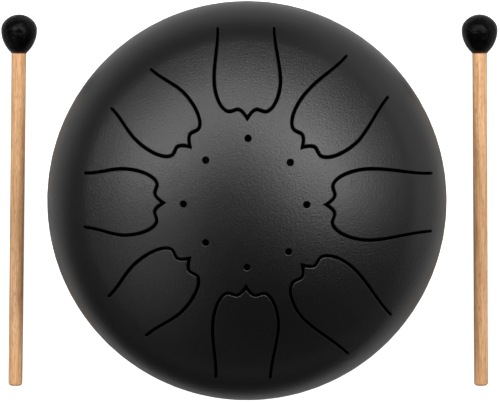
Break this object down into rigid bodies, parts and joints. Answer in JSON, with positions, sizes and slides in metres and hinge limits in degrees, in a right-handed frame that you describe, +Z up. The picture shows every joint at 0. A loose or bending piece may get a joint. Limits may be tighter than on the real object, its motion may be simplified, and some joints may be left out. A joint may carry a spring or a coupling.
{
  "type": "steel tongue drum with mallets",
  "caption": "Lens-shaped black steel tongue drum: tongues cut in its crown, small holes ahead of them, sound hole below, rubber feet, and a pair of rubber-headed wooden mallets.",
  "frame": {"origin": "on the drum's own axis, at the level of the surface that the feet and the mallets rest on", "axes": "+Z up along the drum's axis; +Y away from the player, towards the mallets' heads; +X to the player's right, across the two mallets"},
  "size_m": [0.3234, 0.2544, 0.144],
  "materials": {
    "drum_coat": "satin black powder coat on steel",
    "foot_rubber": "matt black moulded rubber",
    "zinc_fastener": "bright zinc plated steel",
    "mallet_wood": "smooth sanded pale hardwood",
    "mallet_rubber": "smooth, slightly glossy black rubber"
  },
  "bodies": {
    "drum": {"top_shell": "drum_coat", "bottom_shell": "drum_coat", "seam_weld": "drum_coat", "sound_hole_edging": "foot_rubber", "foot_rear": "foot_rubber", "foot_front_left": "foot_rubber", "foot_front_right": "foot_rubber", "foot_screws": "zinc_fastener", "foot_washers": "zinc_fastener", "foot_nuts": "zinc_fastener"},
    "note_rear": {"tongue_rear": "drum_coat"},
    "note_rear_right": {"tongue_rear_right": "drum_coat"},
    "note_right": {"tongue_right": "drum_coat"},
    "note_front_right": {"tongue_front_right": "drum_coat"},
    "note_front": {"tongue_front": "drum_coat"},
    "note_front_left": {"tongue_front_left": "drum_coat"},
    "note_left": {"tongue_left": "drum_coat"},
    "note_rear_left": {"tongue_rear_left": "drum_coat"},
    "left_mallet": {"left_mallet_stick": "mallet_wood", "left_mallet_head": "mallet_rubber"},
    "right_mallet": {"right_mallet_stick": "mallet_wood", "right_mallet_head": "mallet_rubber"}
  },
  "joints": [
    {"name": "rear_tongue_flex", "type": "hinge", "parent": "drum", "child": "note_rear", "pos_m": [0.00038, 0.1097, 0.11155], "axis": [1, -0.0035, 0], "range_deg": [-0.8, 0.8], "stiffness_Nm_per_rad": 5},
    {"name": "rear_right_tongue_flex", "type": "hinge", "parent": "drum", "child": "note_rear_right", "pos_m": [0.07655, 0.07844, 0.1116], "axis": [0.7157, -0.6984, 0], "range_deg": [-0.8, 0.8], "stiffness_Nm_per_rad": 5},
    {"name": "right_tongue_flex", "type": "hinge", "parent": "drum", "child": "note_right", "pos_m": [0.11609, -0.00122, 0.10471], "axis": [-0.0105, -0.9999, 0], "range_deg": [-0.8, 0.8], "stiffness_Nm_per_rad": 5},
    {"name": "front_right_tongue_flex", "type": "hinge", "parent": "drum", "child": "note_front_right", "pos_m": [0.07583, -0.08392, 0.10822], "axis": [-0.742, -0.6704, 0], "range_deg": [-0.8, 0.8], "stiffness_Nm_per_rad": 5},
    {"name": "front_tongue_flex", "type": "hinge", "parent": "drum", "child": "note_front", "pos_m": [-0.00115, -0.10999, 0.1113], "axis": [-0.9999, 0.0105, 0], "range_deg": [-0.8, 0.8], "stiffness_Nm_per_rad": 5},
    {"name": "front_left_tongue_flex", "type": "hinge", "parent": "drum", "child": "note_front_left", "pos_m": [-0.07473, -0.07117, 0.11642], "axis": [-0.6896, 0.7242, 0], "range_deg": [-0.8, 0.8], "stiffness_Nm_per_rad": 5},
    {"name": "left_tongue_flex", "type": "hinge", "parent": "drum", "child": "note_left", "pos_m": [-0.10159, 0.00106, 0.11738], "axis": [0.0105, 0.9999, 0], "range_deg": [-0.8, 0.8], "stiffness_Nm_per_rad": 5},
    {"name": "rear_left_tongue_flex", "type": "hinge", "parent": "drum", "child": "note_rear_left", "pos_m": [-0.07212, 0.07212, 0.11714], "axis": [0.7071, 0.7071, 0], "range_deg": [-0.8, 0.8], "stiffness_Nm_per_rad": 5},
    {"name": "left_mallet_lift", "type": "slide", "parent": "drum", "child": "left_mallet", "axis": [0, 0, 1], "range_m": [0, 0.18]},
    {"name": "right_mallet_lift", "type": "slide", "parent": "drum", "child": "right_mallet", "axis": [0, 0, 1], "range_m": [0, 0.18]}
  ]
}
